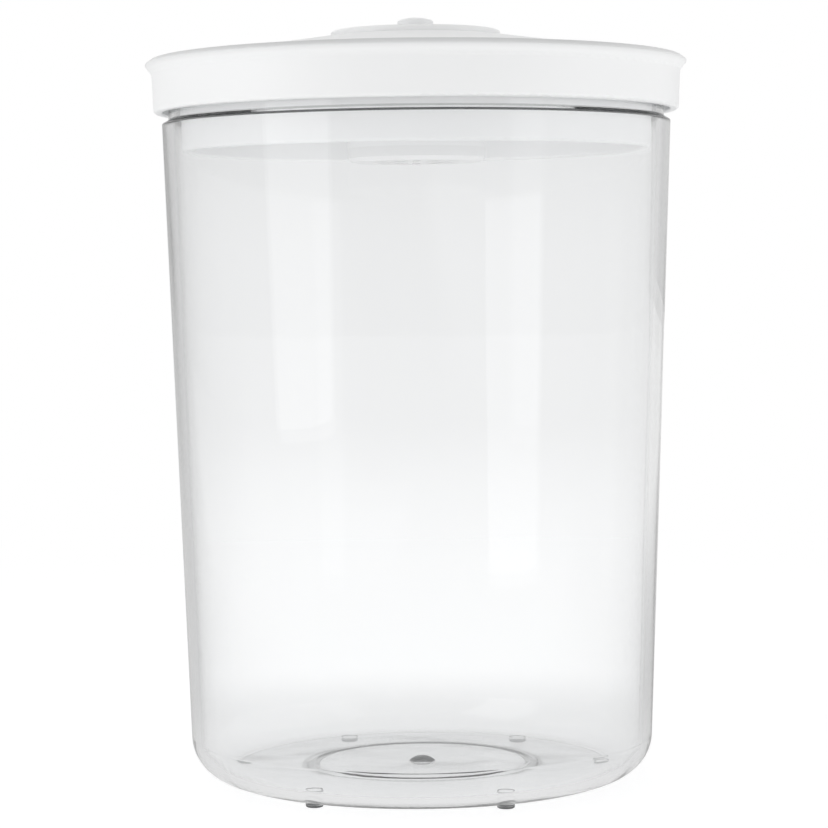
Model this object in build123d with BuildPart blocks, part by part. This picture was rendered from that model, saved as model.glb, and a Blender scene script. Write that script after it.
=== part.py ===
"""Vacuum seal canister: a clear round jar on six moulded feet, with a white push-on lid.

The lid's wide skirt hangs over the jar's neck and its plug stands inside it. A silicone gasket
between the two lies on the rim. A dial on top turns a ported disc under the deck, which opens
or closes the way for the air, and a sprung button in the dial's middle lets air back in.

Millimetres, +Z up. The origin is the centre of the jar's base, on the level of the feet.
The front of the jar is -Y.
"""

from build123d import *
from math import cos, pi, sin, sqrt
import os

# Jar
shoulder_radius = 70.5
shoulder_height = 183.3
jar_taper = 6.3  # how much narrower the tapered wall would be on the base's level
corner_radius = 11.6
side_wall = 2.8
floor_thickness = 2.8
shoulder_step = 1.8
shoulder_rise = 1.0
shoulder_rounding = 0.5
neck_wall = 1.7
neck_height = 11.3
rim_rounding = 0.4
pushup_inset = 35.2
pushup_depth = 0.6
pushup_slope = 2.4
pushup_rounding = 1.5
gate_nub_radius = 3.6
gate_nub_crown_radius = 2.05
gate_nub_height = 1.35
gate_nub_rounding = 4.8
gate_nub_foot_rounding = 0.3
gate_dimple_radius = 2.8
gate_dimple_depth = 1.1

# Jar feet
foot_count = 6
foot_first_angle = 55.5
foot_inset = 13.2
foot_radius = 2.4
foot_height = 1.5
foot_rounding = 0.5

# Lid gasket
gasket_thickness = 2.2
gasket_side_gap = 0.3
gasket_lip_height = 0.6
gasket_rounding = 0.25

# Lid shell
skirt_gap = 1.7
skirt_wall = 2.4
skirt_stand = 1.9
skirt_flare = 0.4
skirt_rounding = 1.0
lip_overhang = 2.0
lip_flare_height = 2.5
lip_tip_height = 1.7
lip_top_height = 3.0
lip_top_inset = 1.9
lip_rounding = 0.55
gutter_inset = 5.2
gutter_height = 2.3
gutter_rounding = 0.8
deck_rise = 6.85
deck_wall = 2.4
pad_margin = 1.5
pad_recess = 0.5
plug_clearance = 1.4
plug_wall = 2.2
plug_depth = 22.4
plug_taper = 0.4
plug_rounding = 0.8
rib_count = 12
rib_thickness = 1.4
rib_depth = 3.2
root_overlap = 0.6
mark_radius = 1.0
mark_depth = 0.4
mark_gap = 3.0

# Valve boss under the deck, with its seat, seal and cage
boss_wall = 2.3
boss_depth = 21.3
boss_ledge = 1.6
snug_gap = 0.1
seat_rim_wall = 1.6
seat_rim_height = 3.6
seat_floor = 2.4
seat_seal_thickness = 1.8
port_radius = 2.0
port_edge = 1.8
port_setback = 0.4
port_count = 2
poppet_room = 1.8
cage_depth = 3.9
cage_floor = 1.8
cage_wall = 1.8
cage_chamfer = 1.1
cage_slot_count = 12
cage_slot_width = 2.2
cage_slot_inset = 2.4
cage_centre_radius = 5.5
snap_height = 4.0
snap_reach = 0.8
snap_depth = 0.3

# Dial with its hub, ring seal, port disc and clip
dial_radius = 23.5
dial_rim_height = 1.9
dial_crown = 0.45
dial_edge_width = 8.5
dial_rounding = 0.6
running_gap = 0.3
hub_wall = 3.7
hub_shoulder = 3.0
guide_wall = 2.2
guide_length = 14.0
spigot_wall = 3.0
spigot_flat = 0.8
spigot_setback = 0.6
well_room = 5.5
ring_seal_section = 0.85
ring_seal_gap = 0.15
ring_seal_drop = 8.0
disc_gap = 0.6
disc_thickness = 3.4
clip_stand = 1.6
clip_side_gap = 0.6
clip_recess_depth = 1.8
clip_thickness = 0.8
clip_groove_depth = 0.7
clip_mouth = 6.0
hub_slot_width = 2.6
hub_slot_height = 1.6
stop_inset = 6.5
stop_pin_radius = 1.1
stop_depth = 1.1
turn_angle = 90.0
grip_radius = 6.4
grip_inset = 5.5
grip_depth = 0.7
pointer_length = 3.4
pointer_width = 1.0
pointer_depth = 0.4
pointer_inset = 1.3

# Release button with its stem, poppet and spring
button_radius = 5.0
button_height = 6.0
button_stand = 3.45
button_dome = 0.9
button_travel = 2.0
button_skirt_wall = 0.9
button_roof = 2.4
button_rounding = 0.7
stem_radius = 1.5
poppet_lap = 1.8
poppet_seal_thickness = 1.4
poppet_flange = 1.2
poppet_hub_wall = 1.1
poppet_hub_length = 1.9
poppet_floor = 0.5
spring_wire_radius = 0.3
spring_side_gap = 0.6
spring_turns = 6
spring_end_gap = 0.02

# One overrun for every cut that has to pass a face
overrun = 1.0

# Jar levels and radii
base_radius = shoulder_radius - jar_taper
base_level = foot_height
floor_level = base_level + floor_thickness
neck_level = shoulder_height + shoulder_rise
rim_level = neck_level + neck_height
neck_radius = shoulder_radius - shoulder_step
neck_bore_radius = neck_radius - neck_wall
pushup_radius = base_radius - pushup_inset
pushup_foot_radius = pushup_radius + pushup_slope
inner_base_radius = base_radius - side_wall
inner_corner_radius = corner_radius - side_wall
foot_circle_radius = base_radius - foot_inset

# Button, hub and spigot radii, from the button outwards and back in again
well_radius = button_radius + running_gap
hub_radius = well_radius + hub_wall
spigot_radius = hub_radius - hub_shoulder
vent_radius = spigot_radius - spigot_wall
poppet_radius = vent_radius + poppet_lap
poppet_hole_radius = poppet_radius + poppet_room
poppet_bore_radius = stem_radius + snug_gap
poppet_hub_radius = poppet_bore_radius + poppet_hub_wall
clip_radius = spigot_radius + clip_stand
clip_recess_radius = clip_radius + clip_side_gap
pocket_radius = button_radius - button_skirt_wall
spring_mean_radius = pocket_radius - spring_side_gap - spring_wire_radius

# Lid levels and radii
pad_radius = dial_radius + pad_margin
roof_level = rim_level + gasket_thickness
skirt_level = neck_level + skirt_stand
skirt_bore_radius = neck_radius + skirt_gap
skirt_radius = skirt_bore_radius + skirt_wall
skirt_top_radius = skirt_radius + skirt_flare
lip_radius = skirt_top_radius + lip_overhang
lip_tip_level = roof_level + lip_tip_height
lip_top_level = roof_level + lip_top_height
gutter_level = roof_level + gutter_height
gutter_radius = lip_radius - gutter_inset
pad_level = gutter_level + deck_rise
plug_radius = neck_bore_radius - plug_clearance
plug_bore_radius = plug_radius - plug_wall
plug_level = roof_level - plug_depth
deck_slope = deck_rise / (gutter_radius - pad_radius)
pad_floor = pad_level - pad_recess
pad_underside = pad_floor - deck_wall

# Valve levels and radii
hub_bore_radius = hub_radius + running_gap
guide_radius = hub_bore_radius + guide_wall
guide_level = pad_level - guide_length
disc_top = guide_level - running_gap
disc_level = disc_top - disc_thickness
spigot_level = disc_level + spigot_setback
clip_level = disc_level + clip_recess_depth
seat_top = disc_level - seat_seal_thickness
seat_level = seat_top - seat_floor
seat_rim_level = seat_top + seat_rim_height
boss_level = roof_level - boss_depth
port_circle_radius = clip_recess_radius + port_setback + port_radius
disc_radius = port_circle_radius + port_radius + port_edge
seat_bore_radius = disc_radius + disc_gap
seat_radius = seat_bore_radius + seat_rim_wall
boss_bore_radius = seat_radius + snug_gap
boss_radius = boss_bore_radius + boss_wall
snap_level = boss_level + snap_height
cage_level = boss_level - cage_depth
cage_bore_radius = seat_radius - cage_wall

# Dial and button levels
dial_level = pad_floor + running_gap
dial_rim_level = dial_level + dial_rim_height
dial_top = dial_rim_level + dial_crown
dial_crown_radius = dial_radius - dial_edge_width
ring_seal_radius = hub_bore_radius - ring_seal_gap - ring_seal_section
ring_seal_level = dial_level - ring_seal_drop
dial_nest_radius = dial_radius + running_gap
stop_radius = dial_radius - stop_inset
grip_circle_radius = dial_radius - grip_inset
button_top = dial_top + button_stand
button_level = button_top - button_height
button_roof_level = button_top - button_roof
well_level = button_level - button_travel - well_room
poppet_level = spigot_level - poppet_seal_thickness - poppet_flange
poppet_hub_level = poppet_level - poppet_hub_length


def deck_height(radius):
    """Height of the deck's sloping top at a radius."""
    return gutter_level + deck_slope * (gutter_radius - radius)


def turning(corners):
    """Closed face in the XZ plane through (radius, height, rounding) corners."""
    with BuildSketch(Plane.XZ) as profile:
        with BuildLine():
            FilletPolyline(
                *[(radius, height) for radius, height, _ in corners],
                radius=[rounding for _, _, rounding in corners],
                close=True,
            )
        make_face()
    return profile.sketch


def finish(piece, node):
    """Labels a finished piece and writes it as one STEP file."""
    piece.part.label = node
    export_step(piece.part, f"parts/{node}.step")


os.makedirs("parts", exist_ok=True)

# Jar: tapered side, rounded corner, raised base, step at the shoulder and straight neck
with BuildPart() as canister_body:
    revolve(turning([
        (0, base_level + pushup_depth, 0),
        (pushup_radius, base_level + pushup_depth, pushup_rounding),
        (pushup_foot_radius, base_level, pushup_rounding),
        (base_radius, base_level, corner_radius),
        (shoulder_radius, shoulder_height, shoulder_rounding),
        (neck_radius, neck_level, shoulder_rounding / 2),
        (neck_radius, rim_level, rim_rounding),
        (neck_bore_radius, rim_level, rim_rounding),
        (neck_bore_radius, shoulder_height, 0),
        (inner_base_radius, floor_level, inner_corner_radius),
        (pushup_foot_radius + pushup_slope / 2, floor_level, pushup_rounding),
        (pushup_radius + pushup_slope / 2, floor_level + pushup_depth, pushup_rounding),
        (gate_nub_radius, floor_level + pushup_depth, gate_nub_foot_rounding),
        (gate_nub_crown_radius, floor_level + pushup_depth + gate_nub_height, gate_nub_rounding),
        (0, floor_level + pushup_depth + gate_nub_height, 0),
    ]), axis=Axis.Z)
    # Dimple under the nub, where the plastic is fed into the mould
    dimple_sphere = (gate_dimple_radius**2 + gate_dimple_depth**2) / (2 * gate_dimple_depth)
    with Locations((0, 0, base_level + pushup_depth + gate_dimple_depth - dimple_sphere)):
        Sphere(dimple_sphere, mode=Mode.SUBTRACT)
    # Six round feet
    with BuildSketch(Plane.XY):
        with PolarLocations(foot_circle_radius, foot_count, start_angle=foot_first_angle):
            Circle(foot_radius)
    extrude(amount=foot_height + floor_thickness / 2)
    foot_edges = canister_body.edges().filter_by(GeomType.CIRCLE).group_by(Axis.Z)[0]
    fillet(foot_edges, radius=foot_rounding)
finish(canister_body, "canister_body")

# Gasket: flat silicone ring on the rim, with a lip down each side of it
gasket_inner = plug_radius + gasket_side_gap
gasket_outer = skirt_bore_radius - gasket_side_gap
with BuildPart() as lid_gasket:
    revolve(turning([
        (gasket_inner, roof_level, 0),
        (gasket_inner, rim_level - gasket_lip_height, 0),
        (neck_bore_radius - gasket_side_gap, rim_level - gasket_lip_height, gasket_rounding),
        (neck_bore_radius - gasket_side_gap, rim_level, 0),
        (neck_radius + gasket_side_gap, rim_level, 0),
        (neck_radius + gasket_side_gap, rim_level - gasket_lip_height, gasket_rounding),
        (gasket_outer, rim_level - gasket_lip_height, 0),
        (gasket_outer, roof_level, 0),
    ]), axis=Axis.Z)
finish(lid_gasket, "lid_gasket")

# Lid shell: skirt, flared lip, low conical deck, plug, valve boss, hub guide and ribs
with BuildPart() as lid_shell:
    revolve(turning([
        (hub_bore_radius, pad_floor, 0),
        (hub_bore_radius, guide_level, 0),
        (guide_radius, guide_level, 0),
        (guide_radius, pad_underside, 0),
        (boss_bore_radius - boss_ledge, pad_underside, 0),
        (boss_bore_radius - boss_ledge, seat_rim_level, 0),
        (boss_bore_radius, seat_rim_level, 0),
        (boss_bore_radius, snap_level + snap_reach, 0),
        (boss_bore_radius + snap_depth, snap_level, 0),
        (boss_bore_radius, snap_level - snap_reach, 0),
        (boss_bore_radius, boss_level, 0),
        (boss_radius, boss_level, 0),
        (boss_radius, pad_underside, 0),
        (pad_radius, pad_underside, 0),
        (plug_bore_radius, deck_height(plug_bore_radius) - deck_wall, plug_rounding),
        (plug_bore_radius - plug_taper, plug_level, plug_rounding),
        (plug_radius - plug_taper, plug_level, plug_rounding),
        (plug_radius, roof_level, 0),
        (skirt_bore_radius, roof_level, 0),
        (skirt_bore_radius, skirt_level, skirt_rounding / 2),
        (skirt_radius, skirt_level, skirt_rounding),
        (skirt_top_radius, lip_tip_level - lip_flare_height, 2 * skirt_rounding),
        (lip_radius, lip_tip_level, lip_rounding),
        (lip_radius - lip_top_inset, lip_top_level, lip_rounding),
        (gutter_radius, gutter_level, gutter_rounding),
        (pad_radius, pad_level, 0),
        (dial_nest_radius, pad_level, 0),
        (dial_nest_radius, pad_floor, 0),
    ]), axis=Axis.Z)
    # Radial ribs from the boss to the plug, under the deck
    rib_level = deck_height(plug_bore_radius) - deck_wall - rib_depth
    rib_outer = plug_bore_radius + root_overlap
    rib_inner = boss_radius - root_overlap
    for rib in range(rib_count):
        rib_angle = (rib + 1 / 2) * 360 / rib_count
        with BuildSketch(Plane.XZ.rotated((0, 0, rib_angle))):
            with BuildLine():
                Polyline(
                    (rib_inner, rib_level),
                    (rib_outer, rib_level),
                    (rib_outer, deck_height(rib_outer) - deck_wall + root_overlap),
                    (pad_radius, pad_underside + root_overlap),
                    (rib_inner, pad_underside + root_overlap),
                    close=True,
                )
            make_face()
        extrude(amount=rib_thickness / 2, both=True)
    # Curved slot in the pad for the dial's stop pin
    with BuildSketch(Plane.XY.offset(pad_floor)):
        SlotArc(
            CenterArc((0, 0), stop_radius, 180, turn_angle),
            height=2 * (stop_pin_radius + running_gap),
        )
    extrude(amount=-(stop_depth + running_gap), mode=Mode.SUBTRACT)
    # Two sunk dots beside the dial: shut and open
    with BuildSketch(Plane.XY.offset(pad_level)):
        with PolarLocations(pad_radius + mark_gap, 2, angular_range=turn_angle, endpoint=True):
            Circle(mark_radius)
    extrude(amount=-(mark_depth + deck_slope * (mark_gap + mark_radius)), mode=Mode.SUBTRACT)
finish(lid_shell, "lid_shell")

# Valve seat: cup pressed into the boss, with a rim round the port disc
with BuildPart() as valve_seat:
    revolve(turning([
        (poppet_hole_radius, seat_top, 0),
        (poppet_hole_radius, seat_level, 0),
        (seat_radius, seat_level, 0),
        (seat_radius, seat_rim_level, 0),
        (seat_bore_radius, seat_rim_level, 0),
        (seat_bore_radius, seat_top, 0),
    ]), axis=Axis.Z)
    with PolarLocations(port_circle_radius, port_count, start_angle=turn_angle):
        with Locations((0, 0, seat_top)):
            Hole(port_radius, depth=2 * seat_floor)
finish(valve_seat, "valve_seat")

# Seat seal: flat silicone washer between the seat and the port disc
with BuildPart() as seat_seal:
    with BuildSketch(Plane.XY.offset(seat_top)):
        Circle(disc_radius)
        Circle(poppet_hole_radius, mode=Mode.SUBTRACT)
        with PolarLocations(port_circle_radius, port_count, start_angle=turn_angle):
            Circle(port_radius, mode=Mode.SUBTRACT)
    extrude(amount=seat_seal_thickness)
finish(seat_seal, "seat_seal")

# Valve cage: slotted cap that snaps into the boss from below and holds the seat up
with BuildPart() as valve_cage:
    revolve(turning([
        (0, cage_level, 0),
        (boss_radius - cage_chamfer, cage_level, 0),
        (boss_radius, cage_level + cage_chamfer, 0),
        (boss_radius, boss_level, 0),
        (seat_radius, boss_level, 0),
        (seat_radius, snap_level - snap_reach, 0),
        (seat_radius + snap_depth, snap_level, 0),
        (seat_radius, snap_level + snap_reach, 0),
        (seat_radius, seat_level, 0),
        (cage_bore_radius, seat_level, 0),
        (cage_bore_radius, cage_level + cage_floor, cage_floor / 2),
        (0, cage_level + cage_floor, 0),
    ]), axis=Axis.Z)
    slot_outer = cage_bore_radius - cage_slot_inset
    slot_length = slot_outer - cage_centre_radius
    with BuildSketch(Plane.XY.offset(cage_level)):
        with PolarLocations(cage_centre_radius + slot_length / 2, cage_slot_count):
            SlotOverall(slot_length, cage_slot_width)
    extrude(amount=2 * cage_floor, both=True, mode=Mode.SUBTRACT)
finish(valve_cage, "valve_cage")

# Dial: crowned disc with two finger hollows, a hub with a spring well and a keyed spigot
with BuildPart() as dial:
    revolve(turning([
        (well_radius, dial_top, 0),
        (dial_crown_radius, dial_top, 0),
        (dial_radius, dial_rim_level, dial_rounding),
        (dial_radius, dial_level, dial_rounding / 2),
        (hub_radius, dial_level, 0),
        (hub_radius, disc_top, 0),
        (spigot_radius, disc_top, 0),
        (spigot_radius, spigot_level, 0),
        (vent_radius, spigot_level, 0),
        (vent_radius, well_level, 0),
        (well_radius, well_level, 0),
    ]), axis=Axis.Z)
    # Groove for the ring seal
    groove_depth = hub_bore_radius - ring_seal_radius + ring_seal_section
    with BuildSketch(Plane.XZ):
        with Locations((hub_bore_radius - groove_depth / 2, ring_seal_level)):
            Rectangle(groove_depth, 2 * ring_seal_section + running_gap)
    revolve(axis=Axis.Z, mode=Mode.SUBTRACT)
    # Groove for the clip, under the port disc's web
    with BuildSketch(Plane.XY.offset(clip_level)):
        Circle(spigot_radius + overrun)
        Circle(spigot_radius - clip_groove_depth, mode=Mode.SUBTRACT)
    extrude(amount=-clip_thickness, mode=Mode.SUBTRACT)
    # Flats that key the port disc
    with BuildSketch(Plane.XY.offset(disc_top)):
        with Locations((0, spigot_radius), (0, -spigot_radius)):
            Rectangle(2 * spigot_radius, 2 * spigot_flat)
    extrude(amount=clip_level - disc_top, mode=Mode.SUBTRACT)
    # Slot through the hub's foot that lets the air into the vent
    with BuildSketch(Plane.XY.offset(disc_top)):
        Rectangle(2 * (hub_radius + overrun), hub_slot_width)
    extrude(amount=hub_slot_height, mode=Mode.SUBTRACT)
    # Stop pin under the disc
    with BuildSketch(Plane.XY.offset(dial_level + dial_rim_height / 2)):
        with Locations(Location((0, 0, 0), (0, 0, 180)) * Pos(stop_radius, 0, 0)):
            Circle(stop_pin_radius)
    extrude(amount=-(running_gap + stop_depth + dial_rim_height / 2))
    # Two finger hollows
    grip_sphere = (grip_radius**2 + grip_depth**2) / (2 * grip_depth)
    with PolarLocations(grip_circle_radius, 2, start_angle=90):
        with Locations((0, 0, dial_rim_level + dial_crown / 2 + grip_sphere - grip_depth)):
            Sphere(grip_sphere, mode=Mode.SUBTRACT)
    # Pointer groove
    with BuildSketch(Plane.XY.offset(dial_rim_level)):
        with Locations((dial_radius - pointer_inset - pointer_length / 2, 0)):
            SlotOverall(pointer_length, pointer_width)
    extrude(amount=pointer_depth + dial_crown, mode=Mode.SUBTRACT)
finish(dial, "dial")

# Ring seal round the hub
with BuildPart() as dial_ring_seal:
    with BuildSketch(Plane.XZ):
        with Locations((ring_seal_radius, ring_seal_level)):
            Circle(ring_seal_section)
    revolve(axis=Axis.Z)
finish(dial_ring_seal, "dial_ring_seal")

# Port disc: turns on the seat seal, keyed to the spigot, recessed below for the clip
with BuildPart() as port_disc:
    with BuildSketch(Plane.XY.offset(disc_level)):
        Circle(disc_radius)
        with PolarLocations(port_circle_radius, port_count):
            Circle(port_radius, mode=Mode.SUBTRACT)
        with BuildSketch(mode=Mode.SUBTRACT):
            Circle(spigot_radius + snug_gap)
            with Locations((0, spigot_radius + snug_gap), (0, -spigot_radius - snug_gap)):
                Rectangle(2 * (spigot_radius + snug_gap), 2 * spigot_flat, mode=Mode.SUBTRACT)
    extrude(amount=disc_thickness)
    with BuildSketch(Plane.XY.offset(disc_level)):
        Circle(clip_recess_radius)
    extrude(amount=clip_recess_depth, mode=Mode.SUBTRACT)
finish(port_disc, "port_disc")

# Clip: open spring ring in the spigot's groove
with BuildPart() as dial_clip:
    with BuildSketch(Plane.XY.offset(clip_level)):
        Circle(clip_radius)
        Circle(spigot_radius - clip_groove_depth + snug_gap, mode=Mode.SUBTRACT)
        with Locations((clip_radius, 0)):
            Rectangle(2 * clip_radius, clip_mouth, mode=Mode.SUBTRACT)
    extrude(amount=-clip_thickness)
finish(dial_clip, "dial_clip")

# Release button: domed cap over a spring pocket, with the stem moulded on
with BuildPart() as release_button:
    revolve(turning([
        (0, button_top, 0),
        (button_radius / 2, button_top - button_dome / 4, 2 * button_radius),
        (button_radius, button_top - button_dome, button_rounding),
        (button_radius, button_level, 0),
        (pocket_radius, button_level, 0),
        (pocket_radius, button_roof_level, 0),
        (stem_radius, button_roof_level, 0),
        (stem_radius, poppet_hub_level + poppet_floor, 0),
        (0, poppet_hub_level + poppet_floor, 0),
    ]), axis=Axis.Z)
finish(release_button, "release_button")

# Poppet: flanged cap pressed on the stem's end
with BuildPart() as poppet:
    revolve(turning([
        (0, poppet_hub_level, 0),
        (poppet_hub_radius, poppet_hub_level, 0),
        (poppet_hub_radius, poppet_level, 0),
        (poppet_radius, poppet_level, 0),
        (poppet_radius, poppet_level + poppet_flange, 0),
        (poppet_bore_radius, poppet_level + poppet_flange, 0),
        (poppet_bore_radius, poppet_hub_level + poppet_floor, 0),
        (0, poppet_hub_level + poppet_floor, 0),
    ]), axis=Axis.Z)
finish(poppet, "poppet")

# Poppet seal: silicone washer that shuts the vent from below
with BuildPart() as poppet_seal:
    with BuildSketch(Plane.XY.offset(poppet_level + poppet_flange)):
        Circle(poppet_radius)
        Circle(poppet_bore_radius, mode=Mode.SUBTRACT)
    extrude(amount=poppet_seal_thickness)
finish(poppet_seal, "poppet_seal")

# Button spring: one open coil from the well's floor to the button's pocket
spring_floor = well_level + spring_wire_radius + spring_end_gap
spring_ceiling = button_roof_level - spring_wire_radius - spring_end_gap
spring_pitch = (spring_ceiling - spring_floor) / spring_turns


def coil_point(turn):
    """Point on the coil's centre line after a number of turns."""
    angle = 2 * pi * turn
    return Vector(
        spring_mean_radius * cos(angle),
        spring_mean_radius * sin(angle),
        spring_floor + spring_pitch * turn,
    )


def coil_tangent(turn):
    """Direction of the coil's centre line after a number of turns."""
    angle = 2 * pi * turn
    run = 2 * pi * spring_mean_radius
    return Vector(-run * sin(angle), run * cos(angle), spring_pitch).normalized()


def coil_joint(start, end):
    """Point where the two arcs between two turns of the coil meet, tangent to each other."""
    step = coil_point(end) - coil_point(start)
    tangents = coil_tangent(start) + coil_tangent(end)
    bend = 2 * (1 - coil_tangent(start).dot(coil_tangent(end)))
    reach = (sqrt(step.dot(tangents) ** 2 + bend * step.dot(step)) - step.dot(tangents)) / bend
    ahead = coil_point(start) + coil_tangent(start) * reach
    behind = coil_point(end) - coil_tangent(end) * reach
    return (ahead + behind) * (1 / 2)


quarters = 4 * spring_turns
with BuildPart() as button_spring:
    with BuildLine() as coil:
        for quarter in range(quarters):
            first = quarter / 4
            last = (quarter + 1) / 4
            meet = coil_joint(first, last)
            arc_in = TangentArc(coil_point(first), meet, tangent=coil_tangent(first))
            TangentArc(meet, coil_point(last), tangent=arc_in % 1)
    with BuildSketch(Plane(origin=coil_point(0), z_dir=coil_tangent(0))):
        Circle(spring_wire_radius)
    sweep(path=coil.wire())
print("button spring: gap between turns", round(spring_pitch - 2 * spring_wire_radius, 3), "mm")
finish(button_spring, "button_spring")
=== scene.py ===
import math

import bmesh
import bpy
from mathutils import Euler, Matrix, Vector

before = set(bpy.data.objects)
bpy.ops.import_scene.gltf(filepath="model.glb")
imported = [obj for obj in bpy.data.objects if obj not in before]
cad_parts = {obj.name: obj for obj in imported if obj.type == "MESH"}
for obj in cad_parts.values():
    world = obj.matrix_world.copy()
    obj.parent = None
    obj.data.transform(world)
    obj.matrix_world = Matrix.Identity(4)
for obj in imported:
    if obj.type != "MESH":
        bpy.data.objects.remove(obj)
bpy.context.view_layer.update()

# Camera, in metres and radians, from the fit to the photograph
CAMERA_PLACE = (-0.0014, -0.74734, 0.1425)
CAMERA_PITCH = 0.0538
CAMERA_ROLL = 0.0098
CAMERA_LENS_MM = 116.19
CAMERA_SENSOR_MM = 36.0
CAMERA_NEAREST = 0.01
CAMERA_FARTHEST = 50.0

# Ends of a smooth step that rises, and of one that falls
RISING = (0.0, 1.0)
FALLING = (1.0, 0.0)

# White light, and the count that tells one bounce from none
WHITE_LIGHT = (1.0, 1.0, 1.0, 1.0)
HALF_BOUNCE = 0.5

# Floor of white paper, in metres
FLOOR_REACH = 6.0
FLOOR_SIDES = 96
FLOOR_DROP = 0.0002
FLOOR_WHITE = 0.80
FLOOR_MOTTLE = 0.004
FLOOR_GRAIN_SCALE = 900.0
FLOOR_TONE_SCALE = 3.0
FLOOR_ROUGHNESS = 0.9
FLOOR_SPECULAR = 0.1

# Glow of the paper near the jar, and the painted shadow: how much less of it shows through the
# walls close by
FLOOR_GLOW = 0.44
FLOOR_BACKING = 0.02
FLOOR_THROUGH_BACKING = 0.070
FLOOR_SHADE = 0.16
FLOOR_SHADE_REACH = (0.115, 0.225)

# Where the paper turns into white backdrop, and the backdrop as the clear walls show it
FLOOR_FADE_REACH = (0.25, 0.70)
BACKDROP_REACH = (0.25, 2.0)
BACKDROP_LIGHT = (1.07, 0.955)

# Floor as gloss mirrors it, by distance, towards the back and towards the right
FLOOR_MIRROR_REACH = (0.25, 2.4)
FLOOR_MIRROR_LIGHT = (0.88, 0.70)
FLOOR_BEHIND = (-0.15, 0.15)
FLOOR_RIGHTWARD = (0.10, 0.60)

# Room as the clear walls show it, from the horizon up
HORIZON_LIGHT = 0.935
HEAD_LIGHT = 0.855
ZENITH_LIGHT = 0.25
HEAD_RISE = (0.0, 0.08)
ZENITH_RISE = (0.12, 0.75)

# Room that gives soft light, from the horizon up
ROOM_RISE = (0.10, 0.90)
ROOM_LIGHT = (0.61, 0.60)

# Room as gloss mirrors it, and the directions in which it changes
MIRROR_HORIZON = 0.70
MIRROR_FRONT = 0.66
MIRROR_BACK = 0.68
MIRROR_RIGHT = 0.90
MIRROR_RAISED = 1.05
ROOM_BEHIND = (-0.25, 0.25)
ROOM_RIGHTWARD = (0.35, 0.90)
ROOM_RAISED = (0.08, 0.20)

# Softboxes that gloss mirrors, and wide fills that it doesn't, in metres
AIM_HEIGHT = 0.11
SOFTBOX = {"reach": 0.62, "height": 0.48, "tall": 1.20, "mirrored_too": True}
SIDE_FILL = {"reach": 1.6, "height": 0.16, "width": 0.8, "tall": 1.0, "mirrored_too": False}
FRONT_FILL = {"reach": 1.6, "height": 0.10, "width": 0.8, "tall": 0.6, "mirrored_too": False}

# Greys of the mouldings, as linear values
LID_WHITE = (0.858, 0.863, 0.866)
DIAL_WHITE = (0.885, 0.890, 0.893)
BUTTON_GREY = (0.840, 0.846, 0.852)
VALVE_WHITE = (0.800, 0.800, 0.775)
CAGE_WHITE = (0.930, 0.933, 0.935)
SILICONE_WHITE = (0.760, 0.772, 0.768)
STEEL_GREY = (0.620, 0.620, 0.625)

# Roughness of each finish, from untouched to handled
CLEAR_ROUGHNESS = (0.0, 0.045)
LID_ROUGHNESS = (0.34, 0.50)
DIAL_ROUGHNESS = (0.30, 0.46)
CAGE_ROUGHNESS = (0.40, 0.55)
BUTTON_ROUGHNESS = (0.28, 0.44)
VALVE_ROUGHNESS = (0.48, 0.62)
SILICONE_ROUGHNESS = (0.48, 0.62)
STEEL_ROUGHNESS = (0.20, 0.42)

# Depth of each relief: strength and height in metres
CLEAR_RELIEF = (0.25, 0.0006)
SATIN_RELIEF = (0.12, 0.00012)
SILICONE_RELIEF = (0.10, 0.0001)
STEEL_RELIEF = (0.10, 0.00005)

# Satin plastic: how its tone varies and its edges catch light, and how light sinks into it
SATIN_INDEX = 1.49
SATIN_DARKER = 0.985
SATIN_LIGHTER = 1.012
SATIN_LIGHTEST = 0.90
EDGE_LIGHTER = 1.03
EDGE_LIGHTEST = 0.92
LID_TRANSLUCENCE = 0.04
SATIN_DEPTH = 0.004
LIGHT_SPREAD = (1.0, 0.98, 0.95)

# Silicone and steel
SILICONE_INDEX = 1.41
SILICONE_DARKER = 0.95
SILICONE_TRANSLUCENCE = 0.25
SILICONE_DEPTH = 0.003
STEEL_DARKER = 0.82

# Painted light on the lid's inner side and the plug's hollow, and painted shade on the flared rim's
# upper side, in metres
ZONE_SOFTNESS = 0.0006
INNER_TOP = 0.1976
INNER_RADIUS = 0.0664
INNER_PAINTED_LIGHT = (0.925, 0.929, 0.931)
HOLLOW_RADIUS = 0.0642
HOLLOW_PAINTED_LIGHT = (0.962, 0.964, 0.965)
RIM_SHADE_RISE = (0.1980, 0.2008)
RIM_SHADE_RADIUS = 0.0722
RIM_PAINTED_SHADE_SHARE = 0.73

# Clear plastic
CLEAR_TINT = (0.992, 0.996, 0.998)
CLEAR_INDEX = 1.57
CLEAR_DEPTH_COLOR = (0.90, 0.902, 0.905)
CLEAR_DEPTH_DENSITY = 75.0
CLEAR_LIGHT_LOSS = (0.990, 0.991, 0.992)
# Painted shade: dark tint of the jar's thin lines of refraction and contact shadow
CLEAR_PAINTED_SHADE_TINT = (0.02, 0.021, 0.022)

# Painted shade lines of the clear jar, for dark refraction and the feet's contact shadow: lowest
# and highest level, least radius, share of the dark tint
LINE_SOFTNESS = 0.0001
SHOULDER_EDGE = ((0.1829, 0.1836), 0.0698, 1.0)
NECK_ROOT = ((0.1840, 0.1846), 0.0680, 0.55)
FOOT_BEVEL = ((0.0001, 0.0007), 0.0, 1.0)

# Dull places of the clear base: levels and radii over which they fade
BASE_FADE = (0.0060, 0.0080)
GATE_MARK_EDGE = (0.0034, 0.0038)
GATE_MARK_ROUGHNESS = 0.42
BASE_RING_INNER = (0.0285, 0.0295)
BASE_RING_OUTER = (0.0335, 0.0345)
BASE_RING_ROUGHNESS = 0.16

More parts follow.
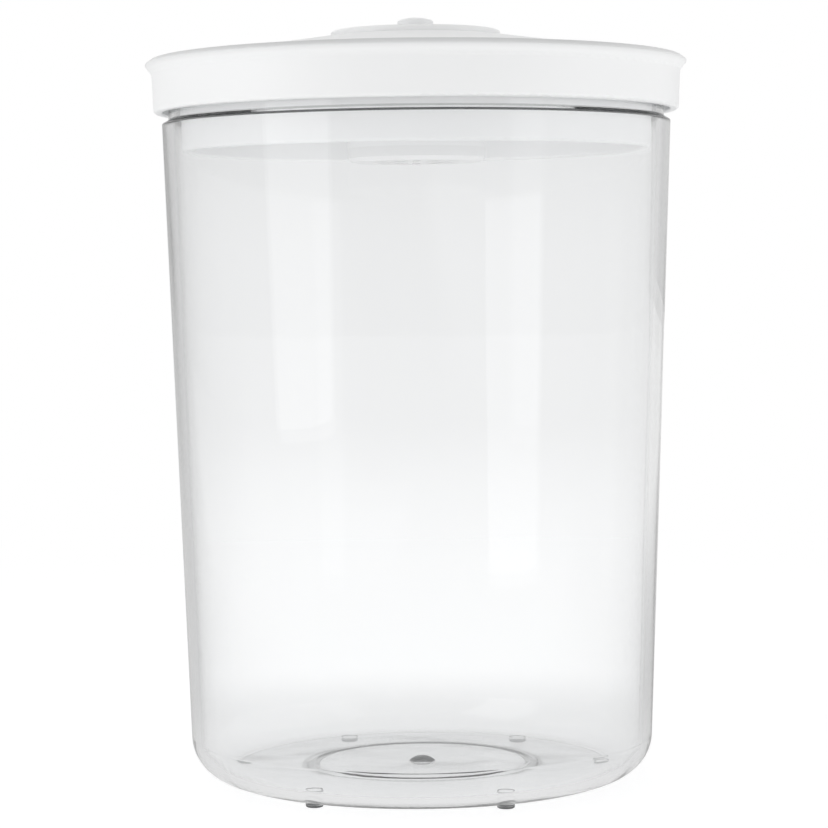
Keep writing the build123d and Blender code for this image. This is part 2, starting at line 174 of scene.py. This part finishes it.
# Handling marks: how the hairlines lie, and where hairlines and patches begin and are full
HAIRLINE_TURN = (0.4, 0.9, 0.3)
HAIRLINE_STRETCH = (1.0, 0.06, 0.35)
HAIRLINE_RANGE = (0.60, 0.74)
PATCH_RANGE = (0.42, 0.68)
PATCH_SHARE = 0.25


# Shader node helpers
def add_node(tree, kind, **values):
    made = tree.nodes.new(kind)
    for name, value in values.items():
        setattr(made, name, value)
    return made


def set_inputs(made, **values):
    for name, value in values.items():
        made.inputs[name.replace("_", " ")].default_value = value
    return made


def feed(tree, socket, value):
    """Gives a socket a plain value, or links it to another node."""
    if isinstance(value, bpy.types.NodeSocket):
        tree.links.new(value, socket)
    else:
        socket.default_value = value


def rgba(color):
    return (*color, 1.0)


def toned(color, share, lightest=1.0):
    """Colour made darker or lighter by a share, up to a lightest value."""
    return tuple(min(part * share, lightest) for part in color)


def border(middle, softness):
    return (middle - softness, middle + softness)


def new_group(name, inputs, outputs):
    """Node group whose sockets all carry plain values."""
    group = bpy.data.node_groups.new(name, "ShaderNodeTree")
    for label, value in inputs.items():
        socket = group.interface.new_socket(
            label, in_out="INPUT", socket_type="NodeSocketFloat"
        )
        socket.default_value = value
    for label in outputs:
        group.interface.new_socket(label, in_out="OUTPUT", socket_type="NodeSocketFloat")
    return group, group.nodes.new("NodeGroupInput"), group.nodes.new("NodeGroupOutput")


def place_group(tree, group, **values):
    return set_inputs(add_node(tree, "ShaderNodeGroup", node_tree=group), **values)


def math_node(tree, operation, first, second):
    made = add_node(tree, "ShaderNodeMath", operation=operation)
    feed(tree, made.inputs[0], first)
    feed(tree, made.inputs[1], second)
    return made.outputs["Value"]


def spread(tree, source, values):
    """Maps a 0 to 1 value onto a range."""
    made = set_inputs(add_node(tree, "ShaderNodeMapRange"), To_Min=values[0], To_Max=values[1])
    tree.links.new(source, made.inputs["Value"])
    return made.outputs["Result"]


def smooth_range(tree, source, span, values=RISING):
    """Goes softly from the first to the second value while the source crosses the span."""
    made = add_node(tree, "ShaderNodeMapRange", interpolation_type="SMOOTHSTEP")
    set_inputs(made, From_Min=span[0], From_Max=span[1], To_Min=values[0], To_Max=values[1])
    tree.links.new(source, made.inputs["Value"])
    return made.outputs["Result"]


def blend_values(tree, share, first, second):
    made = add_node(tree, "ShaderNodeMix", data_type="FLOAT")
    tree.links.new(share, made.inputs["Factor"])
    feed(tree, made.inputs["A"], first)
    feed(tree, made.inputs["B"], second)
    return made.outputs["Result"]


def blend_colors(tree, share, first, second):
    made = add_node(tree, "ShaderNodeMix", data_type="RGBA")
    tree.links.new(share, made.inputs["Factor"])
    feed(tree, made.inputs["A"], first)
    feed(tree, made.inputs["B"], second)
    return made.outputs["Result"]


def blend_shaders(tree, share, first, second):
    made = add_node(tree, "ShaderNodeMixShader")
    tree.links.new(share, made.inputs["Fac"])
    tree.links.new(first, made.inputs[1])
    tree.links.new(second, made.inputs[2])
    return made.outputs["Shader"]


def white_glow(tree, strength):
    made = set_inputs(add_node(tree, "ShaderNodeEmission"), Color=WHITE_LIGHT)
    tree.links.new(strength, made.inputs["Strength"])
    return made.outputs["Emission"]


def own_place(tree):
    """Each point's place on its own object."""
    return add_node(tree, "ShaderNodeTexCoord").outputs["Object"]


def split_place(tree, place):
    parts = add_node(tree, "ShaderNodeSeparateXYZ")
    tree.links.new(place, parts.inputs["Vector"])
    return parts


def distance(tree, place):
    made = add_node(tree, "ShaderNodeVectorMath", operation="LENGTH")
    tree.links.new(place, made.inputs[0])
    return made.outputs["Value"]


def add_noise(tree, place, detail, roughness):
    made = set_inputs(add_node(tree, "ShaderNodeTexNoise"), Detail=detail, Roughness=roughness)
    tree.links.new(place, made.inputs["Vector"])
    return made


def jar_coordinates(tree):
    """Distance from the jar's axis, and height."""
    parts = split_place(tree, own_place(tree))
    flat = set_inputs(add_node(tree, "ShaderNodeCombineXYZ"), Z=0.0)
    tree.links.new(parts.outputs["X"], flat.inputs["X"])
    tree.links.new(parts.outputs["Y"], flat.inputs["Y"])
    return distance(tree, flat.outputs["Vector"]), parts.outputs["Z"]


# Effects that several materials share
def build_flow_group():
    """Slow waves that a moulding keeps from its filling: long up the wall, short round it."""
    group, start, end = new_group(
        "mould_flow", {"Around Scale": 46.0, "Height Scale": 9.0}, ["Height"]
    )
    stretch = add_node(group, "ShaderNodeCombineXYZ")
    for axis, scale in (("X", "Around Scale"), ("Y", "Around Scale"), ("Z", "Height Scale")):
        group.links.new(start.outputs[scale], stretch.inputs[axis])
    scaled = add_node(group, "ShaderNodeVectorMath", operation="MULTIPLY")
    group.links.new(own_place(group), scaled.inputs[0])
    group.links.new(stretch.outputs["Vector"], scaled.inputs[1])
    waves = add_noise(group, scaled.outputs["Vector"], detail=1.5, roughness=0.35)
    set_inputs(waves, Scale=1.0)
    group.links.new(waves.outputs["Fac"], end.inputs["Height"])
    return group


def build_grain_group():
    """Fine matt grain of a spark-finished mould, with a slow change of tone over the surface."""
    group, start, end = new_group(
        "satin_grain", {"Grain Scale": 2400.0, "Tone Scale": 34.0}, ["Height", "Tone"]
    )
    place = own_place(group)
    grain = add_noise(group, place, detail=2.0, roughness=0.6)
    tone = add_noise(group, place, detail=3.0, roughness=0.5)
    group.links.new(start.outputs["Grain Scale"], grain.inputs["Scale"])
    group.links.new(start.outputs["Tone Scale"], tone.inputs["Scale"])
    group.links.new(grain.outputs["Fac"], end.inputs["Height"])
    group.links.new(tone.outputs["Fac"], end.inputs["Tone"])
    return group


def build_handling_group():
    """Where hands and cloths have dulled the gloss: sparse hairline scuffs and soft patches."""
    group, start, end = new_group(
        "handling_marks",
        {"Hairline Scale": 900.0, "Patch Scale": 26.0, "Hairline Share": 0.35},
        ["Mask"],
    )
    place = own_place(group)
    lie = add_node(group, "ShaderNodeMapping")
    set_inputs(lie, Rotation=HAIRLINE_TURN, Scale=HAIRLINE_STRETCH)
    group.links.new(place, lie.inputs["Vector"])
    hair = add_noise(group, lie.outputs["Vector"], detail=2.0, roughness=0.7)
    patch = add_noise(group, place, detail=2.0, roughness=0.5)
    group.links.new(start.outputs["Hairline Scale"], hair.inputs["Scale"])
    group.links.new(start.outputs["Patch Scale"], patch.inputs["Scale"])
    thin = smooth_range(group, hair.outputs["Fac"], HAIRLINE_RANGE)
    soft = smooth_range(group, patch.outputs["Fac"], PATCH_RANGE)
    lines = math_node(group, "MULTIPLY", thin, start.outputs["Hairline Share"])
    scuffs = math_node(group, "MULTIPLY", lines, soft)
    patches = math_node(group, "MULTIPLY", soft, PATCH_SHARE)
    group.links.new(math_node(group, "ADD", scuffs, patches), end.inputs["Mask"])
    return group


def build_edge_group():
    """Soft paler line along sharp edges: partly wear, partly a painted highlight where edges catch
    light.
    """
    group, start, end = new_group("edge_light", {"Edge Low": 0.52, "Edge High": 0.62}, ["Mask"])
    surface = add_node(group, "ShaderNodeNewGeometry")
    sharp = add_node(group, "ShaderNodeMapRange", interpolation_type="SMOOTHSTEP")
    group.links.new(surface.outputs["Pointiness"], sharp.inputs["Value"])
    group.links.new(start.outputs["Edge Low"], sharp.inputs["From Min"])
    group.links.new(start.outputs["Edge High"], sharp.inputs["From Max"])
    group.links.new(sharp.outputs["Result"], end.inputs["Mask"])
    return group


FLOW = build_flow_group()
GRAIN = build_grain_group()
HANDLING = build_handling_group()
EDGE = build_edge_group()


# Zones of single pieces
def build_lid_painted_light_group():
    """Painted shade on the flared rim's upper side, and painted light on the inner side and plug's
    hollow.
    """
    group, _, end = new_group("lid_painted_light", {}, ["Rim", "Inner", "Hollow"])
    reach, height = jar_coordinates(group)
    raised = smooth_range(group, height, RIM_SHADE_RISE)
    outer = smooth_range(group, reach, border(RIM_SHADE_RADIUS, ZONE_SOFTNESS))
    group.links.new(math_node(group, "MULTIPLY", raised, outer), end.inputs["Rim"])
    under = smooth_range(group, height, border(INNER_TOP, ZONE_SOFTNESS), FALLING)
    for zone, radius in (("Inner", INNER_RADIUS), ("Hollow", HOLLOW_RADIUS)):
        within = smooth_range(group, reach, border(radius, ZONE_SOFTNESS), FALLING)
        group.links.new(math_node(group, "MULTIPLY", under, within), end.inputs[zone])
    return group


def painted_shade_stripe(group, reach, height, levels, least_radius, share):
    """One thin line of painted shade, between two levels and outside a radius."""
    rise = smooth_range(group, height, border(levels[0], LINE_SOFTNESS), (0.0, share))
    fall = smooth_range(group, height, border(levels[1], LINE_SOFTNESS), FALLING)
    outer = smooth_range(group, reach, border(least_radius, LINE_SOFTNESS))
    return math_node(group, "MULTIPLY", math_node(group, "MULTIPLY", rise, fall), outer)


def build_jar_shade_lines_group():
    """Painted shade lines of the clear jar: dark refraction at its shoulder's edge and neck's root,
    and contact shadow at its feet.
    """
    group, _, end = new_group("jar_painted_shade_lines", {}, ["Mask"])
    reach, height = jar_coordinates(group)
    edge = painted_shade_stripe(group, reach, height, *SHOULDER_EDGE)
    root = painted_shade_stripe(group, reach, height, *NECK_ROOT)
    foot = painted_shade_stripe(group, reach, height, *FOOT_BEVEL)
    total = math_node(group, "MAXIMUM", math_node(group, "MAXIMUM", edge, root), foot)
    group.links.new(total, end.inputs["Mask"])
    return group


def build_base_group():
    """Dull places of the clear base: the frosted gate mark and the ring round the raised part."""
    group, _, end = new_group("base_dullness", {}, ["Roughness"])
    reach, height = jar_coordinates(group)
    low = smooth_range(group, height, BASE_FADE, FALLING)
    gate = smooth_range(group, reach, GATE_MARK_EDGE, (GATE_MARK_ROUGHNESS, 0.0))
    rise = smooth_range(group, reach, BASE_RING_INNER, (0.0, BASE_RING_ROUGHNESS))
    fall = smooth_range(group, reach, BASE_RING_OUTER, FALLING)
    dull = math_node(group, "ADD", gate, math_node(group, "MULTIPLY", rise, fall))
    group.links.new(math_node(group, "MULTIPLY", dull, low), end.inputs["Roughness"])
    return group


# Materials
def start_material(name):
    material = bpy.data.materials.new(name)
    material.use_nodes = True
    tree = material.node_tree
    tree.nodes.clear()
    surface = tree.nodes.new("ShaderNodeBsdfPrincipled")
    output = tree.nodes.new("ShaderNodeOutputMaterial")
    tree.links.new(surface.outputs["BSDF"], output.inputs["Surface"])
    return material, tree, surface, output


def add_relief(tree, surface, height, relief):
    strength, depth = relief
    made = set_inputs(add_node(tree, "ShaderNodeBump"), Strength=strength, Distance=depth)
    tree.links.new(height, made.inputs["Height"])
    tree.links.new(made.outputs["Normal"], surface.inputs["Normal"])


def clear_plastic():
    """Clear jar plastic: faint waves, sparse scuffs, painted shade lines and dull base marks."""
    material, tree, surface, output = start_material("clear_jar_plastic")
    set_inputs(surface, Transmission_Weight=1.0, IOR=CLEAR_INDEX)
    # Painted shade lines tint the clear plastic dark at the shoulder's edge, the neck root and the
    # feet
    lines = place_group(tree, build_jar_shade_lines_group())
    tint = blend_colors(tree, lines.outputs["Mask"], rgba(CLEAR_TINT), rgba(CLEAR_PAINTED_SHADE_TINT))
    tree.links.new(tint, surface.inputs["Base Color"])
    flow = place_group(tree, FLOW)
    marks = place_group(
        tree, HANDLING, Hairline_Scale=700.0, Patch_Scale=22.0, Hairline_Share=0.8
    )
    dull = place_group(tree, build_base_group())
    handled = spread(tree, marks.outputs["Mask"], CLEAR_ROUGHNESS)
    rough = math_node(tree, "ADD", handled, dull.outputs["Roughness"])
    tree.links.new(rough, surface.inputs["Roughness"])
    add_relief(tree, surface, flow.outputs["Height"], CLEAR_RELIEF)
    depth = add_node(tree, "ShaderNodeVolumeAbsorption")
    set_inputs(depth, Density=CLEAR_DEPTH_DENSITY, Color=rgba(CLEAR_DEPTH_COLOR))
    tree.links.new(depth.outputs["Volume"], output.inputs["Volume"])
    let_light_through(tree, surface, output)
    return material


def let_light_through(tree, surface, output):
    """Soft light passes straight through the clear walls, and lights what stands in them."""
    path = tree.nodes.new("ShaderNodeLightPath")
    soft = math_node(tree, "MAXIMUM", path.outputs["Is Shadow Ray"], path.outputs["Is Diffuse Ray"])
    passing = add_node(tree, "ShaderNodeBsdfTransparent")
    set_inputs(passing, Color=rgba(CLEAR_LIGHT_LOSS))
    shader = blend_shaders(tree, soft, surface.outputs["BSDF"], passing.outputs["BSDF"])
    tree.links.new(shader, output.inputs["Surface"])


def satin_plastic(name, color, roughness, grain_scale, translucence=0.0):
    """Satin moulded plastic, with its shader and the socket of its colour."""
    material, tree, surface, _ = start_material(name)
    grain = place_group(tree, GRAIN, Grain_Scale=grain_scale)
    marks = place_group(tree, HANDLING)
    edge = place_group(tree, EDGE)
    darker = rgba(toned(color, SATIN_DARKER))
    lighter = rgba(toned(color, SATIN_LIGHTER, SATIN_LIGHTEST))
    tone = blend_colors(tree, grain.outputs["Tone"], darker, lighter)
    # Paler edges: partly wear, partly a painted highlight
    edge_tone = rgba(toned(color, EDGE_LIGHTER, EDGE_LIGHTEST))
    whole = blend_colors(tree, edge.outputs["Mask"], tone, edge_tone)
    tree.links.new(whole, surface.inputs["Base Color"])
    rough = spread(tree, marks.outputs["Mask"], roughness)
    tree.links.new(rough, surface.inputs["Roughness"])
    set_inputs(
        surface,
        IOR=SATIN_INDEX,
        Subsurface_Weight=translucence,
        Subsurface_Scale=SATIN_DEPTH,
        Subsurface_Radius=LIGHT_SPREAD,
    )
    add_relief(tree, surface, grain.outputs["Height"], SATIN_RELIEF)
    return material, surface, whole


def lid_plastic():
    """White satin plastic, with painted shade on the rim's upper side and painted light inside."""
    material, surface, whole = satin_plastic(
        "lid_plastic",
        LID_WHITE,
        LID_ROUGHNESS,
        grain_scale=2400.0,
        translucence=LID_TRANSLUCENCE,
    )
    tree = material.node_tree
    zones = place_group(tree, build_lid_painted_light_group())
    # Painted shade darkens the rim's upper side; painted light whitens the inner side and the
    # plug's hollow
    for zone, tint in (
        ("Rim", toned(LID_WHITE, RIM_PAINTED_SHADE_SHARE)),
        ("Inner", INNER_PAINTED_LIGHT),
        ("Hollow", HOLLOW_PAINTED_LIGHT),
    ):
        whole = blend_colors(tree, zones.outputs[zone], whole, rgba(tint))
    tree.links.new(whole, surface.inputs["Base Color"])
    return material


def dial_plastic():
    return satin_plastic("dial_plastic", DIAL_WHITE, DIAL_ROUGHNESS, grain_scale=2800.0)[0]


def cage_plastic():
    return satin_plastic("cage_plastic", CAGE_WHITE, CAGE_ROUGHNESS, grain_scale=2400.0)[0]


def button_plastic():
    return satin_plastic("button_plastic", BUTTON_GREY, BUTTON_ROUGHNESS, grain_scale=3200.0)[0]


def valve_plastic():
    return satin_plastic("valve_plastic", VALVE_WHITE, VALVE_ROUGHNESS, grain_scale=3400.0)[0]


def seal_silicone():
    material, tree, surface, _ = start_material("seal_silicone")
    grain = place_group(tree, GRAIN, Grain_Scale=1500.0, Tone_Scale=60.0)
    darker = rgba(toned(SILICONE_WHITE, SILICONE_DARKER))
    tone = blend_colors(tree, grain.outputs["Tone"], darker, rgba(SILICONE_WHITE))
    tree.links.new(tone, surface.inputs["Base Color"])
    rough = spread(tree, grain.outputs["Tone"], SILICONE_ROUGHNESS)
    tree.links.new(rough, surface.inputs["Roughness"])
    set_inputs(
        surface,
        IOR=SILICONE_INDEX,
        Subsurface_Weight=SILICONE_TRANSLUCENCE,
        Subsurface_Scale=SILICONE_DEPTH,
        Subsurface_Radius=LIGHT_SPREAD,
    )
    add_relief(tree, surface, grain.outputs["Height"], SILICONE_RELIEF)
    return material


def drawn_steel():
    """Bright drawn wire and strip, with fine scratches."""
    material, tree, surface, _ = start_material("drawn_spring_steel")
    marks = place_group(
        tree, HANDLING, Hairline_Scale=5200.0, Patch_Scale=300.0, Hairline_Share=1.0
    )
    darker = rgba(toned(STEEL_GREY, STEEL_DARKER))
    tone = blend_colors(tree, marks.outputs["Mask"], rgba(STEEL_GREY), darker)
    tree.links.new(tone, surface.inputs["Base Color"])
    rough = spread(tree, marks.outputs["Mask"], STEEL_ROUGHNESS)
    tree.links.new(rough, surface.inputs["Roughness"])
    set_inputs(surface, Metallic=1.0)
    add_relief(tree, surface, marks.outputs["Mask"], STEEL_RELIEF)
    return material


def dress(names, material):
    for name in names:
        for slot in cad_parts[name].material_slots:
            slot.material = material


def dress_pieces():
    dress(["canister_body"], clear_plastic())
    dress(["lid_shell"], lid_plastic())
    dress(["dial"], dial_plastic())
    dress(["valve_cage"], cage_plastic())
    dress(["release_button"], button_plastic())
    dress(["valve_seat", "port_disc", "poppet"], valve_plastic())
    dress(["lid_gasket", "seat_seal", "dial_ring_seal", "poppet_seal"], seal_silicone())
    dress(["dial_clip", "button_spring"], drawn_steel())


# Studio
def mirrored(tree, path):
    """1 for a ray that gloss has turned, also where it has since left a clear wall."""
    return math_node(tree, "GREATER_THAN", path.outputs["Glossy Depth"], HALF_BOUNCE)


def lit_paper(tree, surface, path, reach):
    """Paper near the jar, with a glow that is less where the clear walls show it close by: a
    painted shadow of the jar.
    """
    through_ray = path.outputs["Is Transmission Ray"]
    seen = math_node(tree, "MAXIMUM", path.outputs["Is Camera Ray"], through_ray)
    full = FLOOR_GLOW + FLOOR_THROUGH_BACKING
    # Painted shadow of the jar: less glow close by, as the clear walls show it
    through = smooth_range(tree, reach, FLOOR_SHADE_REACH, (full - FLOOR_SHADE, full))
    backing = blend_values(tree, through_ray, FLOOR_GLOW + FLOOR_BACKING, through)
    glow = blend_values(tree, seen, FLOOR_GLOW, backing)
    whole = add_node(tree, "ShaderNodeAddShader")
    tree.links.new(surface.outputs["BSDF"], whole.inputs[0])
    tree.links.new(white_glow(tree, glow), whole.inputs[1])
    return whole.outputs["Shader"]


def white_backdrop(tree, path, reach):
    """Far floor: plain white, but uneven as the clear walls show it."""
    uneven = smooth_range(tree, reach, BACKDROP_REACH, BACKDROP_LIGHT)
    strength = blend_values(tree, path.outputs["Is Transmission Ray"], 1.0, uneven)
    return white_glow(tree, strength)


def mirrored_floor(tree, place, reach):
    """Floor as gloss mirrors it: darker far off and behind the jar, brighter on its right."""
    parts = split_place(tree, place)
    ahead = smooth_range(tree, reach, FLOOR_MIRROR_REACH, FLOOR_MIRROR_LIGHT)
    behind = smooth_range(tree, parts.outputs["Y"], FLOOR_BEHIND)
    middle = blend_values(tree, behind, ahead, MIRROR_BACK)
    rightward = smooth_range(tree, parts.outputs["X"], FLOOR_RIGHTWARD)
    return white_glow(tree, blend_values(tree, rightward, middle, MIRROR_RIGHT))


def floor_paper():
    """White paper that shows the soft shadow and fades into the white backdrop."""
    material, tree, surface, output = start_material("floor_paper")
    grain = place_group(
        tree, GRAIN, Grain_Scale=FLOOR_GRAIN_SCALE, Tone_Scale=FLOOR_TONE_SCALE
    )
    tone = spread(tree, grain.outputs["Tone"], border(FLOOR_WHITE, FLOOR_MOTTLE))
    tree.links.new(tone, surface.inputs["Base Color"])
    set_inputs(surface, Roughness=FLOOR_ROUGHNESS, Specular_IOR_Level=FLOOR_SPECULAR)
    path = tree.nodes.new("ShaderNodeLightPath")
    place = own_place(tree)
    reach = distance(tree, place)
    near = lit_paper(tree, surface, path, reach)
    far = white_backdrop(tree, path, reach)
    lit = blend_shaders(tree, smooth_range(tree, reach, FLOOR_FADE_REACH), near, far)
    shown = blend_shaders(tree, mirrored(tree, path), lit, mirrored_floor(tree, place, reach))
    tree.links.new(shown, output.inputs["Surface"])
    return material


def add_floor():
    mesh = bpy.data.meshes.new("studio_floor")
    shape = bmesh.new()
    bmesh.ops.create_circle(shape, cap_ends=True, radius=FLOOR_REACH, segments=FLOOR_SIDES)
    shape.to_mesh(mesh)
    shape.free()
    floor = bpy.data.objects.new("studio_floor", mesh)
    floor.location = (0.0, 0.0, -FLOOR_DROP)
    bpy.context.scene.collection.objects.link(floor)
    mesh.materials.append(floor_paper())


def seen_room(tree, height):
    """Room as the clear walls show it: bright low down, dark overhead."""
    low = smooth_range(tree, height, HEAD_RISE, (HORIZON_LIGHT, HEAD_LIGHT))
    high = smooth_range(tree, height, ZENITH_RISE)
    return blend_values(tree, high, low, ZENITH_LIGHT)


def mirrored_room(tree, path, parts):
    """Room as gloss mirrors it, brighter on the right, and above the back for outer faces."""
    height = parts.outputs["Z"]
    ahead = smooth_range(tree, height, HEAD_RISE, (MIRROR_HORIZON, MIRROR_FRONT))
    behind = smooth_range(tree, parts.outputs["Y"], ROOM_BEHIND)
    middle = blend_values(tree, behind, ahead, MIRROR_BACK)
    rightward = smooth_range(tree, parts.outputs["X"], ROOM_RIGHTWARD)
    sideways = blend_values(tree, rightward, middle, MIRROR_RIGHT)
    raised = smooth_range(tree, height, ROOM_RAISED)
    outside = math_node(tree, "LESS_THAN", path.outputs["Transmission Depth"], HALF_BOUNCE)
    over_back = math_node(tree, "MULTIPLY", math_node(tree, "MULTIPLY", raised, behind), outside)
    return blend_values(tree, over_back, sideways, MIRROR_RAISED)


def add_world():
    """White backdrop to look at, a plain room for soft light and a darker one to mirror."""
    world = bpy.data.worlds.new("white_studio")
    bpy.context.scene.world = world
    world.use_nodes = True
    tree = world.node_tree
    tree.nodes.clear()
    path = tree.nodes.new("ShaderNodeLightPath")
    parts = split_place(tree, add_node(tree, "ShaderNodeTexCoord").outputs["Generated"])
    height = parts.outputs["Z"]
    room = smooth_range(tree, height, ROOM_RISE, ROOM_LIGHT)
    through_ray = path.outputs["Is Transmission Ray"]
    through = blend_values(tree, through_ray, room, seen_room(tree, height))
    mirror = mirrored_room(tree, path, parts)
    shown = blend_values(tree, mirrored(tree, path), through, mirror)
    whole = blend_values(tree, path.outputs["Is Camera Ray"], shown, 1.0)
    back = set_inputs(add_node(tree, "ShaderNodeBackground"), Color=WHITE_LIGHT)
    tree.links.new(whole, back.inputs["Strength"])
    output = add_node(tree, "ShaderNodeOutputWorld")
    tree.links.new(back.outputs["Background"], output.inputs["Surface"])


def add_softbox(name, turn, reach, height, width, tall, power, mirrored_too):
    """A softbox at an angle round the object from the camera's side, aimed at its middle."""
    lamp = bpy.data.lights.new(name, "AREA")
    lamp.shape = "RECTANGLE"
    lamp.size = width
    lamp.size_y = tall
    lamp.energy = power
    holder = bpy.data.objects.new(name, lamp)
    angle = math.radians(turn)
    place = Vector((reach * math.sin(angle), -reach * math.cos(angle), height))
    aim = (Vector((0.0, 0.0, AIM_HEIGHT)) - place).to_track_quat("-Z", "Y")
    holder.matrix_world = Matrix.Translation(place) @ aim.to_matrix().to_4x4()
    holder.visible_camera = False
    holder.visible_transmission = mirrored_too
    holder.visible_glossy = mirrored_too
    bpy.context.scene.collection.objects.link(holder)


def add_lights():
    add_softbox("left_softbox", turn=-53.0, width=0.45, power=0.92, **SOFTBOX)
    add_softbox("right_softbox", turn=49.0, width=0.21, power=0.17, **SOFTBOX)
    add_softbox("left_fill", turn=-75.0, power=5.4, **SIDE_FILL)
    add_softbox("right_fill", turn=72.0, power=7.2, **SIDE_FILL)
    add_softbox("front_fill", turn=0.0, power=0.5, **FRONT_FILL)


def add_camera():
    camera = bpy.data.cameras.new("product_camera")
    camera.lens = CAMERA_LENS_MM
    camera.sensor_width = CAMERA_SENSOR_MM
    camera.sensor_fit = "HORIZONTAL"
    camera.clip_start = CAMERA_NEAREST
    camera.clip_end = CAMERA_FARTHEST
    holder = bpy.data.objects.new("product_camera", camera)
    tilt = Euler((math.pi / 2 - CAMERA_PITCH, 0.0, 0.0)).to_matrix().to_4x4()
    roll = Matrix.Rotation(-CAMERA_ROLL, 4, "Z")
    holder.matrix_world = Matrix.Translation(CAMERA_PLACE) @ tilt @ roll
    bpy.context.scene.collection.objects.link(holder)
    bpy.context.scene.camera = holder


add_camera()
add_world()
add_lights()
add_floor()
dress_pieces()
bpy.context.scene.view_settings.view_transform = "Standard"
